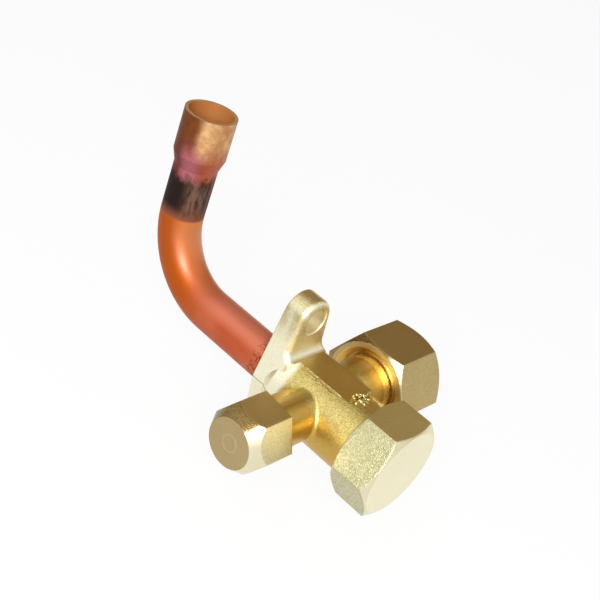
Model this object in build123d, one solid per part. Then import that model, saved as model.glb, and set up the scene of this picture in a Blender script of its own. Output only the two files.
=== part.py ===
from build123d import *
import math
import os

# Three-way refrigerant service valve: a forged brass body on a two-hole flange, with a copper
# tube brazed in behind, a flare connection and a charging port at the sides, and a capped stem.
# Frame: the origin is on the flange's mounting face at the stem's axis. +X runs along the stem
# to its cap, +Y along the flare connection, -Y along the service port, +Z to the upper ear.
# Lengths are millimetres. A size that ends in _X is a place along the stem. Places on a side
# port are distances outwards from the stem's axis.

# ------------------------------------------------------------------ clearances
RUN_GAP = 0.05          # radial gap of a thread or a sliding fit
REST_GAP = 0.05         # gap between faces that close on each other across a joint
SEAT_GAP = 0.02         # gap between pieces that sit in each other and never move apart

# ------------------------------------------------------------------ copper tube
TUBE_OD = 12.7          # half-inch refrigeration tube
TUBE_WALL = 1.0
TUBE_REACH = 26.8       # straight run behind the flange
BEND_R = 21.3           # centre line of the right-angle bend
RISER = 30.9            # end of the bend to the bell's rim
BELL_GAP = 0.15         # radial room in the bell for a tube of the same size
BELL_DEPTH = 12.5
BELL_TAPER = 3.6
SOCKET_DEPTH = 6.6      # depth of the tube's socket in the body
BRAZE_GAP = 0.05        # radial gap that the brazing alloy closes
BRAZE_LEG = 1.1         # of the countersink that the alloy fills
BRAZE_DISH = 0.25

# ------------------------------------------------------------------ forged body
BARREL_R = 10.6
FLAT_Z = 9.75           # half height of the flats that the flare boss grows from
FLAT_RUN_OUT = 4.0      # radius at the outer end of the flats
PORT_X = 17.3           # both side ports
BLOCK_HALF = 9.5        # half length of the square root of the flare boss
BLOCK_Y = 8.0
BLOCK_ROUND = 2.4
FLANGE_T = 6.9
FLANGE_HALF = 9.43      # half width at the forging's parting line
EAR_HOLE_Z = 20.0
EAR_HOLE_R = 3.9
EAR_R = 6.0
EAR_ROUND = 1.8         # front edges of the ears
EAR_BACK_ROUND = 0.5    # edges of the mounting face
EAR_BLEND_R = 2.4       # hollow where an ear rises from the flats
SHOULDER_LEN = 3.0      # cone between the flange's width and the barrel's
SERVICE_BOSS_R = 7.1
BOSS_BLEND_R = 1.2
FLARE_ROOT_R = 9.6
FLARE_ROOT_LEN = 4.5
FLARE_NECK_R = 8.7
HOLE_CHAMFER = 0.3

# ------------------------------------------------------------------ stem and its bore
CAP_SEAT_X = 34.0       # end of the barrel, behind the stem cap
SEAT_X = 10.6           # small end of the conical seat
SEAT_R = 4.2
CHAMBER_R = 6.0
CHAMBER_END_X = 22.4
STEM_THREAD_R = 6.5     # M13 x 1
STEM_THREAD_X = 23.0
STEM_THREAD_LEN = 5.9
STEM_HEAD_X = 30.7
STEM_HEAD_LEN = 5.8
STEM_HEAD_R = 7.25
STEM_TRAVEL = 4.0       # shut to fully open
STEM_TIP_R = 2.6
STEM_NOSE_R = 5.2
STEM_NOSE_LEN = 1.6
STEM_WAIST_R = 3.6
ORING_GROOVE_DEPTH = 1.2
ORING_GROOVE_W = 1.5
ORING_LAND = 0.75       # land in front of the inner groove
ORING_PITCH = 2.6
KEY_AF = 5.0
KEY_DEPTH = 5.5
RING_T = 1.0
RING_WIDTH = 1.8
RING_GROOVE_DEPTH = 0.75
RING_LAND = 0.65        # lip of the body outside the ring's groove
RING_OPENING = 3.4      # gap between the ring's two lugs
RING_LUG_R = 1.2
RING_EYE_R = 0.55
RING_EYE_WALL = 0.4     # from an eye to its lug's end

# ------------------------------------------------------------------ stem cap
CAP_AF = 26.0
CAP_TURN = 1.5          # degrees from a corner at the local X axis
CAP_STAND_OFF = 0.3     # between the cap's rim and the barrel's end
CAP_FACE_R = 12.6
CAP_THREAD_R = 10.0     # M20 x 1.5
CAP_WALL = 3.35
CAP_GASKET_T = 1.0
CAP_GASKET_R = 7.6      # its hole

# ------------------------------------------------------------------ flare connection
FLARE_THREAD_R = 9.525  # 3/4-16 UNF, for half-inch tube
FLARE_THREAD_START = 21.2
FLARE_STEP = 0.9        # length of the cone up to the thread
FLARE_THREAD_END = 29.0
CONE_TOP = 29.9
CONE_TOP_R = 8.2
CONE_END_R = 4.9
FLARE_BORE_R = 4.5
NUT_AF = 26.0
NUT_TURN = 32.7
NUT_LIP = 3.5           # what the nut reaches past the bonnet
NUT_LEN = 19.3
NUT_FACE_R = 12.6
NUT_NOSE_R = 12.2
NUT_NOSE_LEN = 2.6
NUT_MOUTH_R = 11.2
NUT_HOLE_GAP = 0.1      # radial room round the tube
BONNET_WALL = 0.9
BONNET_SPACE = 0.6      # room between the body's end and the bonnet's closed end

# ------------------------------------------------------------------ service port
BOSS_END = 20.5
PORT_THREAD_R = 5.556   # 7/16-20 UNF
PORT_END = 31.2
PORT_BORE_R = 2.05
PORT_CHAMFER = 0.6
SERVICE_CAP_AF = 17.0
SERVICE_CAP_TURN = 24.0
SERVICE_STAND_OFF = 0.3
SERVICE_CAP_HEX_LEN = 9.25
SERVICE_CAP_FACE_R = 6.85
SERVICE_CAP_WALL = 2.05
SERVICE_GASKET_T = 1.2
SERVICE_GASKET_R = 3.2  # its hole

# ------------------------------------------------------------------ valve core
CORE_THREAD_R = 2.65
CORE_DEPTH = 7.8        # from the port's mouth to the small end of the core's conical seat
CORE_SEAT_LEN = 1.6
CORE_HEAD_T = 0.35      # flange of the core's barrel, outside its seal
CORE_SEAL_INSET = 0.2
PLUG_LEN = 4.4
PLUG_HEAD_LEN = 1.8
PLUG_HEAD_HALF = 1.1
PLUG_HOLE_R = 0.9
CORE_BARREL_R = 1.75
CORE_BARREL_BORE_R = 1.25
CORE_BARREL_LEN = 9.6   # below its flange
CORE_LEDGE = 0.8
CORE_LEDGE_HOLE_R = 0.75
PIN_R = 0.5
PIN_INSET = 0.5         # of the pin's tip behind the port's mouth
PIN_COLLAR_R = 1.1
PIN_COLLAR_T = 0.6
PIN_COLLAR_DEPTH = 0.6  # below the barrel's flange
PIN_STROKE = 1.2
PIN_HEAD_R = 0.95
PIN_HEAD_T = 0.4
CUP_R = 1.7
CUP_T = 1.1             # thickness of the cup's floor
CUP_LIP = 0.25
CUP_LIP_T = 0.2
CUP_SEAL_T = 0.5
SPRING_WIRE_R = 0.15
SPRING_COIL_R = 0.88
SPRING_TURNS = 4

# ------------------------------------------------------------------ sizes that follow
TUBE_R = TUBE_OD / 2
TUBE_BORE_R = TUBE_R - TUBE_WALL
BELL_BORE_R = TUBE_R + BELL_GAP
BELL_R = BELL_BORE_R + TUBE_WALL
RIM_Z = BEND_R + RISER
EAR_FOOT_X = FLANGE_T + EAR_BLEND_R
BLOCK_END_X = PORT_X + BLOCK_HALF
GLAND_R = STEM_HEAD_R + RUN_GAP
STEM_END_X = STEM_HEAD_X + STEM_HEAD_LEN
RING_X = STEM_END_X + STEM_TRAVEL + REST_GAP
RING_GROOVE_R = GLAND_R + RING_GROOVE_DEPTH
BODY_END_X = RING_X + RING_T + SEAT_GAP + RING_LAND
CAP_START_X = CAP_SEAT_X + CAP_STAND_OFF
CAP_FLOOR_X = BODY_END_X + REST_GAP + CAP_GASKET_T
CAP_END_X = CAP_FLOOR_X + CAP_WALL
SLANT = math.sqrt(2)    # a gap across a 45 degree cone, measured along its axis
CHAMFER_TAN = math.tan(math.radians(30))
FLARE_END = CONE_TOP + CONE_TOP_R - CONE_END_R
BONNET_END = FLARE_END + BONNET_SPACE + BONNET_WALL
NUT_END = BONNET_END + NUT_LIP
NUT_START = NUT_END - NUT_LEN
SERVICE_CAP_START = BOSS_END + SERVICE_STAND_OFF
SERVICE_FLOOR = PORT_END + REST_GAP + SERVICE_GASKET_T
SERVICE_CAP_END = SERVICE_FLOOR + SERVICE_CAP_WALL
CORE_BORE_R = CORE_THREAD_R + SEAT_GAP
CORE_SEAT = PORT_END - CORE_DEPTH
CORE_SEAT_TOP = CORE_SEAT + CORE_SEAT_LEN
CORE_BARREL_START = CORE_SEAT_TOP - CORE_BARREL_LEN
PIN_END = PORT_END - PIN_INSET
PIN_COLLAR_TOP = CORE_SEAT_TOP - PIN_COLLAR_DEPTH
SPRING_START = CORE_BARREL_START + CORE_LEDGE
SPRING_END = PIN_COLLAR_TOP - PIN_COLLAR_T

# ------------------------------------------------------------------ working planes
STEM = Plane((0, 0, 0), x_dir=(0, 1, 0), z_dir=(1, 0, 0))
FLARE = Plane((PORT_X, 0, 0), x_dir=(0, 0, 1), z_dir=(0, 1, 0))
SERVICE = Plane((PORT_X, 0, 0), x_dir=(0, 0, 1), z_dir=(0, -1, 0))


# ------------------------------------------------------------------ shared shapes
def lathe(*outline):
    """Turn an outline of (distance, radius) corners about the local Z axis."""
    corners = [(radius, distance) for distance, radius in outline]
    return revolve(Plane.XZ * make_face(Polyline(*corners, close=True)), Axis.Z)


def rod(radius, start, end):
    """A cylinder about the local Z axis."""
    return lathe((start, 0), (start, radius), (end, radius), (end, 0))


def ring(inner, outer, start, end):
    """A flat-sided ring about the local Z axis."""
    return lathe((start, inner), (start, outer), (end, outer), (end, inner))


def hexagon(across_flats, turn, start, end):
    """A hexagon bar about the local Z axis, turned from a corner on the local X axis."""
    shape = RegularPolygon(across_flats / 2, 6, major_radius=False, rotation=turn)
    return extrude(Plane.XY.offset(start) * shape, end - start)


def corner_radius(across_flats):
    return across_flats / math.sqrt(3)


# ------------------------------------------------------------------ forged body
def ear_outline():
    """The upper half of the flange seen from the front: flanks tangent to the ear's round."""
    reach = math.hypot(FLANGE_HALF, EAR_HOLE_Z)
    tilt = math.atan2(FLANGE_HALF, EAR_HOLE_Z) - math.asin(EAR_R / reach)
    touch = (EAR_R * math.cos(tilt), EAR_HOLE_Z + EAR_R * math.sin(tilt))
    flanks = Polygon((FLANGE_HALF, 0), touch, (-touch[0], touch[1]), (-FLANGE_HALF, 0), align=None)
    return flanks + Pos(0, EAR_HOLE_Z) * Circle(EAR_R)


def ear_side():
    """The upper half of the flange seen from the side: a hollow leads into the upright ear."""
    top = EAR_HOLE_Z + EAR_R + 1
    foot = (EAR_FOOT_X, FLAT_Z)
    rise = (FLANGE_T, FLAT_Z + EAR_BLEND_R)
    lean = EAR_BLEND_R * (1 - math.sqrt(0.5))
    hollow = ThreePointArc(foot, (FLANGE_T + lean, FLAT_Z + lean), rise)
    rest = Polyline(rise, (FLANGE_T, top), (0, top), (0, 0), (EAR_FOOT_X, 0), foot)
    return make_face([hollow] + rest.edges())


def outline_edges(shape, nearest, furthest):
    """Edges that follow the ear's outline between two distances from the mounting face."""
    along = shape.edges().filter_by(Axis.Y, reverse=True)
    return [e for e in along if nearest <= (e @ 0.5).X <= furthest]


def flange():
    """Two ears that meet at the parting line, rounded in front and eased behind."""
    plate = STEM * extrude(ear_outline(), EAR_FOOT_X)
    half = plate & extrude(Plane.XZ * ear_side(), FLANGE_HALF + 1, both=True)
    half = fillet(outline_edges(half, FLANGE_T - SEAT_GAP, EAR_FOOT_X + SEAT_GAP), EAR_ROUND)
    half = fillet(outline_edges(half, -SEAT_GAP, SEAT_GAP), EAR_BACK_ROUND)
    return half + mirror(half, Plane.XY)


def barrel_and_boss():
    """The round barrel, with the service boss growing from it through a small hollow."""
    barrel = STEM * lathe(
        (FLANGE_T / 2, 0),
        (FLANGE_T / 2, FLANGE_HALF - EAR_BACK_ROUND),
        (FLANGE_T / 2 + SHOULDER_LEN, BARREL_R),
        (CAP_SEAT_X, BARREL_R),
        (CAP_SEAT_X, 0),
    )
    joined = barrel + SERVICE * rod(SERVICE_BOSS_R, 0, BOSS_END)

    def at_root(edge):
        quarter = edge @ 0.25
        off_boss = math.hypot(quarter.X - PORT_X, quarter.Z) - SERVICE_BOSS_R
        off_barrel = math.hypot(quarter.Y, quarter.Z) - BARREL_R
        return abs(off_boss) < REST_GAP and abs(off_barrel) < REST_GAP and quarter.Y < 0

    return fillet([e for e in joined.edges() if at_root(e)], BOSS_BLEND_R)


def flat_cutter():
    """What is pressed off the barrel above the flat, with a curved run-out at its outer end."""
    start, top = FLANGE_T / 2, FLAT_Z + FLAT_RUN_OUT
    foot, lip = (BLOCK_END_X, FLAT_Z), (BLOCK_END_X + FLAT_RUN_OUT, top)
    lean = FLAT_RUN_OUT * math.sqrt(0.5)
    curve = ThreePointArc(foot, (BLOCK_END_X + lean, top - lean), lip)
    rest = Polyline(lip, (start, top), (start, FLAT_Z), foot)
    return extrude(Plane.XZ * make_face([curve] + rest.edges()), BARREL_R, both=True)


def flare_block():
    """The square root of the flare boss, flush with the flats, its far edges rounded."""
    length = BLOCK_END_X - FLANGE_T / 2
    block = Pos(BLOCK_END_X - length / 2, BLOCK_Y / 2, 0) * Box(length, BLOCK_Y, 2 * FLAT_Z)
    far = block.edges().group_by(Axis.Y)[-1]
    return fillet(far.filter_by(Axis.X) + far.filter_by(Axis.Z).sort_by(Axis.X)[-1:], BLOCK_ROUND)


def flare_neck():
    """The round flare boss: a cone off the block, a plain neck, the thread and the 45 degree
    cone that the pipe's flare seals on."""
    root = BLOCK_Y - BLOCK_ROUND
    return FLARE * lathe(
        (0, 0),
        (0, FLARE_ROOT_R),
        (root, FLARE_ROOT_R),
        (root + FLARE_ROOT_LEN, FLARE_NECK_R),
        (FLARE_THREAD_START - FLARE_STEP, FLARE_NECK_R),
        (FLARE_THREAD_START, FLARE_THREAD_R),
        (FLARE_THREAD_END, FLARE_THREAD_R),
        (CONE_TOP, CONE_TOP_R),
        (FLARE_END, CONE_END_R),
        (FLARE_END, 0),
    )


def service_thread():
    return SERVICE * lathe(
        (0, 0),
        (0, PORT_THREAD_R),
        (PORT_END - PORT_CHAMFER, PORT_THREAD_R),
        (PORT_END, PORT_THREAD_R - PORT_CHAMFER),
        (PORT_END, 0),
    )


def cap_thread():
    return STEM * lathe(
        (CAP_SEAT_X - 1, 0),
        (CAP_SEAT_X - 1, CAP_THREAD_R),
        (BODY_END_X - PORT_CHAMFER, CAP_THREAD_R),
        (BODY_END_X, CAP_THREAD_R - PORT_CHAMFER),
        (BODY_END_X, 0),
    )


def stem_bore():
    """From the mounting face outwards: tube socket, orifice, conical seat, chamber, thread,
    gland, ring groove and mouth."""
    socket_r = TUBE_R + BRAZE_GAP
    thread_r = STEM_THREAD_R + RUN_GAP
    groove_end = RING_X + RING_T + SEAT_GAP
    return STEM * lathe(
        (-1, 0),
        (-1, socket_r + BRAZE_LEG),
        (0, socket_r + BRAZE_LEG),
        (BRAZE_LEG, socket_r),
        (SOCKET_DEPTH, socket_r),
        (SOCKET_DEPTH, SEAT_R),
        (SEAT_X, SEAT_R),
        (SEAT_X + CHAMBER_R - SEAT_R, CHAMBER_R),
        (CHAMBER_END_X, CHAMBER_R),
        (CHAMBER_END_X + thread_r - CHAMBER_R, thread_r),
        (STEM_HEAD_X - (GLAND_R - thread_r) - 2 * REST_GAP, thread_r),
        (STEM_HEAD_X - 2 * REST_GAP, GLAND_R),
        (RING_X - SEAT_GAP, GLAND_R),
        (RING_X - SEAT_GAP, RING_GROOVE_R),
        (groove_end, RING_GROOVE_R),
        (groove_end, GLAND_R),
        (BODY_END_X + 1, GLAND_R),
        (BODY_END_X + 1, 0),
    )


def core_bore():
    """The service port's passage, the core's conical seat and its thread."""
    return SERVICE * lathe(
        (0, 0),
        (0, PORT_BORE_R),
        (CORE_SEAT, PORT_BORE_R),
        (CORE_SEAT_TOP, CORE_BORE_R),
        (PORT_END - HOLE_CHAMFER, CORE_BORE_R),
        (PORT_END + REST_GAP, CORE_BORE_R + HOLE_CHAMFER),
        (PORT_END + REST_GAP, 0),
    )


def ear_holes():
    """Two bolt holes, eased at the front face."""
    hole = lathe(
        (-1, 0),
        (-1, EAR_HOLE_R),
        (FLANGE_T - HOLE_CHAMFER, EAR_HOLE_R),
        (FLANGE_T + REST_GAP, EAR_HOLE_R + HOLE_CHAMFER),
        (EAR_FOOT_X, EAR_HOLE_R + HOLE_CHAMFER),
        (EAR_FOOT_X, 0),
    )
    return [STEM * Pos(0, side * EAR_HOLE_Z, 0) * hole for side in (1, -1)]


def valve_body():
    flats = flat_cutter()
    body = barrel_and_boss() - [flats, mirror(flats, Plane.XY)]
    body += [flange(), flare_block(), flare_neck(), service_thread(), cap_thread()]
    return body - [stem_bore(), FLARE * rod(FLARE_BORE_R, 0, FLARE_END + 1), core_bore()] - ear_holes()


# ------------------------------------------------------------------ copper tube
def tube_run(start, end):
    return ring(TUBE_BORE_R, TUBE_R, start, end)


def copper_tube():
    """A straight run out of the body, a right-angle bend, a riser and a belled end."""
    reach = STEM * tube_run(-TUBE_REACH, SOCKET_DEPTH - SEAT_GAP)
    section = Plane.XY.offset(BEND_R) * (Circle(TUBE_R) - Circle(TUBE_BORE_R))
    pivot = Axis((-TUBE_REACH, 0, BEND_R), (0, 1, 0))
    bend = revolve(Pos(-TUBE_REACH - BEND_R, 0, 0) * section, pivot, -90)
    bell_start = RIM_Z - BELL_DEPTH
    riser = tube_run(BEND_R, bell_start - BELL_TAPER)
    bell = lathe(
        (bell_start - BELL_TAPER, TUBE_BORE_R),
        (bell_start - BELL_TAPER, TUBE_R),
        (bell_start, BELL_R),
        (RIM_Z, BELL_R),
        (RIM_Z, BELL_BORE_R),
        (bell_start, BELL_BORE_R),
    )
    return reach + bend + Pos(-TUBE_REACH - BEND_R, 0, 0) * (riser + bell)


def braze_fillet():
    """The dished ring of brazing alloy in the countersink where the tube enters the body."""
    inner = TUBE_R + SEAT_GAP
    tip = TUBE_R + BRAZE_GAP + BRAZE_LEG - SEAT_GAP * SLANT - inner
    outer = inner + tip - REST_GAP
    middle = ((inner + outer) / 2, REST_GAP + BRAZE_DISH)
    dish = ThreePointArc((inner, REST_GAP), middle, (outer, REST_GAP))
    rest = Polyline((outer, REST_GAP), (inner, tip), (inner, REST_GAP))
    return STEM * revolve(Plane.XZ * make_face([dish] + rest.edges()), Axis.Z)


# ------------------------------------------------------------------ stem
def groove_start(index):
    return STEM_HEAD_X + ORING_LAND + index * ORING_PITCH


def valve_stem():
    """Conical nose, waist across the ports, thread, and a head with two O-ring grooves and a
    hexagon key socket. It is modelled screwed down on its seat."""
    lift = SEAT_X + REST_GAP * SLANT - SEAT_R
    nose_end = lift + STEM_NOSE_R + STEM_NOSE_LEN
    thread_end = STEM_THREAD_X + STEM_THREAD_LEN
    relief_r = STEM_THREAD_R - ORING_LAND
    stem = lathe(
        (lift + STEM_TIP_R, 0),
        (lift + STEM_TIP_R, STEM_TIP_R),
        (lift + STEM_NOSE_R, STEM_NOSE_R),
        (nose_end, STEM_NOSE_R),
        (nose_end + STEM_NOSE_R - STEM_WAIST_R, STEM_WAIST_R),
        (STEM_THREAD_X - (relief_r - STEM_WAIST_R), STEM_WAIST_R),
        (STEM_THREAD_X, relief_r),
        (STEM_THREAD_X, STEM_THREAD_R),
        (thread_end, STEM_THREAD_R),
        (thread_end, relief_r),
        (STEM_HEAD_X, relief_r),
        (STEM_HEAD_X, STEM_HEAD_R),
        (STEM_END_X, STEM_HEAD_R),
        (STEM_END_X, 0),
    )
    floor_r = STEM_HEAD_R - ORING_GROOVE_DEPTH
    for index in (0, 1):
        start = groove_start(index)
        stem -= ring(floor_r, STEM_HEAD_R + 1, start, start + ORING_GROOVE_W)
    key = hexagon(KEY_AF, 0, STEM_END_X - KEY_DEPTH, STEM_END_X + 1)
    drill_end = STEM_END_X - KEY_DEPTH - KEY_AF / 4
    drill = lathe((drill_end, 0), (STEM_END_X - KEY_DEPTH, KEY_AF / 2), (STEM_END_X - KEY_DEPTH, 0))
    return STEM * (stem - key - drill)


def stem_oring(index):
    floor_r = STEM_HEAD_R - ORING_GROOVE_DEPTH
    cord_r = (GLAND_R - floor_r) / 2 - SEAT_GAP
    middle = groove_start(index) + ORING_GROOVE_W / 2
    return STEM * Pos(0, 0, middle) * Torus((GLAND_R + floor_r) / 2, cord_r)


def stem_retaining_ring():
    """An open spring ring with an eyed lug at each end, seated in the mouth's groove."""
    outer = RING_GROOVE_R - SEAT_GAP
    inner = outer - RING_WIDTH
    side = RING_OPENING / 2 + RING_EYE_WALL + RING_EYE_R
    reach = math.sqrt(inner ** 2 - side ** 2)
    lugs = [Pos(reach, place) * Circle(RING_LUG_R) for place in (side, -side)]
    eyes = [Pos(reach, place) * Circle(RING_EYE_R) for place in (side, -side)]
    shape = Circle(outer) - Circle(inner) + lugs - eyes
    shape -= Pos(outer, 0) * Rectangle(3 * RING_WIDTH, RING_OPENING)
    return STEM * extrude(Plane.XY.offset(RING_X) * shape, RING_T)


# ------------------------------------------------------------------ stem cap
def stem_cap():
    """A closed hexagon cap, chamfered at both ends, screwed over the body's mouth."""
    corner = corner_radius(CAP_AF)
    chamfer_len = (corner - CAP_FACE_R) * CHAMFER_TAN
    bore = CAP_THREAD_R + RUN_GAP
    envelope = lathe(
        (CAP_START_X, 0),
        (CAP_START_X, CAP_FACE_R),
        (CAP_START_X + chamfer_len, corner),
        (CAP_END_X - chamfer_len, corner),
        (CAP_END_X, CAP_FACE_R),
        (CAP_END_X, 0),
    )
    cap = hexagon(CAP_AF, CAP_TURN, CAP_START_X, CAP_END_X) & envelope
    hollow = lathe(
        (CAP_START_X, 0),
        (CAP_START_X, bore + HOLE_CHAMFER),
        (CAP_START_X + HOLE_CHAMFER, bore),
        (CAP_FLOOR_X, bore),
        (CAP_FLOOR_X, 0),
    )
    return STEM * (cap - hollow)


def stem_cap_gasket():
    outer = CAP_THREAD_R + RUN_GAP - SEAT_GAP
    return STEM * ring(CAP_GASKET_R, outer, BODY_END_X + REST_GAP, CAP_FLOOR_X - SEAT_GAP)


# ------------------------------------------------------------------ flare nut and bonnet
def flare_cone(radius, layers):
    """Where the sealing cone has this radius, moved out by some gaps and bonnet walls."""
    return CONE_TOP + CONE_TOP_R - radius + layers * SLANT


def flare_nut():
    """A hexagon nut with a countersunk mouth and a cone inside that presses the flare home."""
    corner = corner_radius(NUT_AF)
    mouth_len = (corner - NUT_FACE_R) * CHAMFER_TAN
    bore = FLARE_THREAD_R + RUN_GAP
    hole = TUBE_R + NUT_HOLE_GAP
    layers = BONNET_WALL + 2 * REST_GAP
    envelope = lathe(
        (NUT_START, 0),
        (NUT_START, NUT_FACE_R),
        (NUT_START + mouth_len, corner),
        (NUT_END - NUT_NOSE_LEN, corner),
        (NUT_END, NUT_NOSE_R),
        (NUT_END, 0),
    )
    nut = hexagon(NUT_AF, NUT_TURN, NUT_START, NUT_END) & envelope
    hollow = lathe(
        (NUT_START, 0),
        (NUT_START, NUT_MOUTH_R),
        (NUT_START + NUT_MOUTH_R - bore, bore),
        (flare_cone(bore, layers), bore),
        (flare_cone(hole, layers), hole),
        (NUT_END - HOLE_CHAMFER, hole),
        (NUT_END, hole + HOLE_CHAMFER),
        (NUT_END, 0),
    )
    return FLARE * (nut - hollow)


def flare_bonnet():
    """A flared copper cup that blanks the connection until a pipe takes its place."""
    inner_r = TUBE_R - BONNET_WALL
    edge = BONNET_WALL / SLANT
    return FLARE * lathe(
        (flare_cone(CONE_TOP_R, REST_GAP), CONE_TOP_R),
        (flare_cone(inner_r, REST_GAP), inner_r),
        (BONNET_END - BONNET_WALL, inner_r),
        (BONNET_END - BONNET_WALL, 0),
        (BONNET_END, 0),
        (BONNET_END, TUBE_R),
        (flare_cone(TUBE_R, REST_GAP + BONNET_WALL), TUBE_R),
        (flare_cone(CONE_TOP_R, REST_GAP) + edge, CONE_TOP_R + edge),
    )


# ------------------------------------------------------------------ service cap
def service_cap():
    """A closed hexagon cap with a long conical nose."""
    corner = corner_radius(SERVICE_CAP_AF)
    bore = PORT_THREAD_R + RUN_GAP
    hex_end = SERVICE_CAP_START + SERVICE_CAP_HEX_LEN
    envelope = lathe(
        (SERVICE_CAP_START, 0),
        (SERVICE_CAP_START, corner),
        (hex_end, corner),
        (SERVICE_CAP_END, SERVICE_CAP_FACE_R),
        (SERVICE_CAP_END, 0),
    )
    cap = hexagon(SERVICE_CAP_AF, SERVICE_CAP_TURN, SERVICE_CAP_START, SERVICE_CAP_END) & envelope
    hollow = lathe(
        (SERVICE_CAP_START, 0),
        (SERVICE_CAP_START, bore + HOLE_CHAMFER),
        (SERVICE_CAP_START + HOLE_CHAMFER, bore),
        (SERVICE_FLOOR, bore),
        (SERVICE_FLOOR, 0),
    )
    return SERVICE * (cap - hollow)


def service_cap_gasket():
    outer = PORT_THREAD_R + RUN_GAP - SEAT_GAP
    return SERVICE * ring(SERVICE_GASKET_R, outer, PORT_END + REST_GAP, SERVICE_FLOOR - SEAT_GAP)


# ------------------------------------------------------------------ valve core
def core_plug():
    """The threaded swivel that holds the core down, its outer end cut to a narrow bridge."""
    start = CORE_SEAT_TOP + CORE_HEAD_T + SEAT_GAP
    end = start + PLUG_LEN
    plug = ring(PLUG_HOLE_R, CORE_THREAD_R, start, end)
    for side in (1, -1):
        place = Pos(0, side * (PLUG_HEAD_HALF + CORE_THREAD_R), end - PLUG_HEAD_LEN / 2)
        plug -= place * Box(3 * CORE_THREAD_R, 2 * CORE_THREAD_R, PLUG_HEAD_LEN)
    return SERVICE * plug


def core_barrel():
    """A tube with a flange under the plug and an inward ledge that carries the spring."""
    flange_start = CORE_SEAT_TOP
    flange_end = flange_start + CORE_HEAD_T
    return SERVICE * lathe(
        (CORE_BARREL_START, CORE_LEDGE_HOLE_R),
        (CORE_BARREL_START, CORE_BARREL_R),
        (flange_start, CORE_BARREL_R),
        (flange_start, CORE_BORE_R - REST_GAP),
        (flange_end, CORE_BORE_R - REST_GAP),
        (flange_end, CORE_BARREL_BORE_R),
        (SPRING_START, CORE_BARREL_BORE_R),
        (SPRING_START, CORE_LEDGE_HOLE_R),
    )


def core_barrel_seal():
    """The soft cone round the barrel that seals on the port's conical seat."""
    rise = (CORE_BORE_R - PORT_BORE_R) / CORE_SEAT_LEN
    start = CORE_SEAT + CORE_SEAL_INSET
    end = CORE_SEAT_TOP - SEAT_GAP
    inner = CORE_BARREL_R + SEAT_GAP
    start_r = PORT_BORE_R + rise * (start - CORE_SEAT) - SEAT_GAP
    end_r = PORT_BORE_R + rise * (end - CORE_SEAT) - SEAT_GAP
    return SERVICE * lathe((start, inner), (start, start_r), (end, end_r), (end, inner))


def core_pin():
    """The pin that a hose presses in: a collar for the spring, a riveted head inside the cup."""
    head = CORE_BARREL_START - REST_GAP - CUP_SEAL_T - CUP_T - 2 * SEAT_GAP
    return SERVICE * lathe(
        (head - PIN_HEAD_T, 0),
        (head - PIN_HEAD_T, PIN_HEAD_R),
        (head, PIN_HEAD_R),
        (head, PIN_R),
        (PIN_COLLAR_TOP - PIN_COLLAR_T, PIN_R),
        (PIN_COLLAR_TOP - PIN_COLLAR_T, PIN_COLLAR_R),
        (PIN_COLLAR_TOP, PIN_COLLAR_R),
        (PIN_COLLAR_TOP, PIN_R),
        (PIN_END, PIN_R),
        (PIN_END, 0),
    )


def core_spring():
    """A wire coil from the barrel's ledge to the pin's collar."""
    start = SPRING_START + SPRING_WIRE_R + SEAT_GAP
    height = SPRING_END - SPRING_START - 2 * (SPRING_WIRE_R + SEAT_GAP)
    path = Helix(pitch=height / SPRING_TURNS, height=height, radius=SPRING_COIL_R)
    wire = Plane(path @ 0, z_dir=path % 0) * Circle(SPRING_WIRE_R)
    return SERVICE * Pos(0, 0, start) * sweep(wire, path)


def core_cup():
    """The cup on the pin's inner end that carries the seal."""
    face = CORE_BARREL_START - REST_GAP - CUP_SEAL_T - SEAT_GAP
    return SERVICE * lathe(
        (face - CUP_T, PIN_R + SEAT_GAP),
        (face - CUP_T, CUP_R),
        (face + CUP_LIP_T, CUP_R),
        (face + CUP_LIP_T, CUP_R - CUP_LIP),
        (face, CUP_R - CUP_LIP),
        (face, PIN_R + SEAT_GAP),
    )


def core_cup_seal():
    face = CORE_BARREL_START - REST_GAP
    return SERVICE * ring(PIN_R + SEAT_GAP, CUP_R - CUP_LIP - SEAT_GAP, face - CUP_SEAL_T, face)


# ------------------------------------------------------------------ pieces
NODES = {
    "valve_body": valve_body,
    "copper_tube": copper_tube,
    "braze_fillet": braze_fillet,
    "valve_stem": valve_stem,
    "stem_oring_inner": lambda: stem_oring(0),
    "stem_oring_outer": lambda: stem_oring(1),
    "stem_retaining_ring": stem_retaining_ring,
    "stem_cap": stem_cap,
    "stem_cap_gasket": stem_cap_gasket,
    "flare_nut": flare_nut,
    "flare_bonnet": flare_bonnet,
    "service_cap": service_cap,
    "service_cap_gasket": service_cap_gasket,
    "core_plug": core_plug,
    "core_barrel": core_barrel,
    "core_barrel_seal": core_barrel_seal,
    "core_pin": core_pin,
    "core_spring": core_spring,
    "core_cup": core_cup,
    "core_cup_seal": core_cup_seal,
}

os.makedirs("parts", exist_ok=True)
for name, make in NODES.items():
    export_step(make(), os.path.join("parts", name + ".step"))
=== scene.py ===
# %% [markdown]
# # A refrigerant service valve, dressed for its picture
# The solids come from the CAD model with every size already right, so this lesson is about
# everything a size can't say: how blasted brass scatters light, how copper changes colour where
# a torch has been, where a forging keeps its burrs, and what a cut thread looks like.
# The first cell brings the solids in. All lengths are metres from here on.

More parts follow.
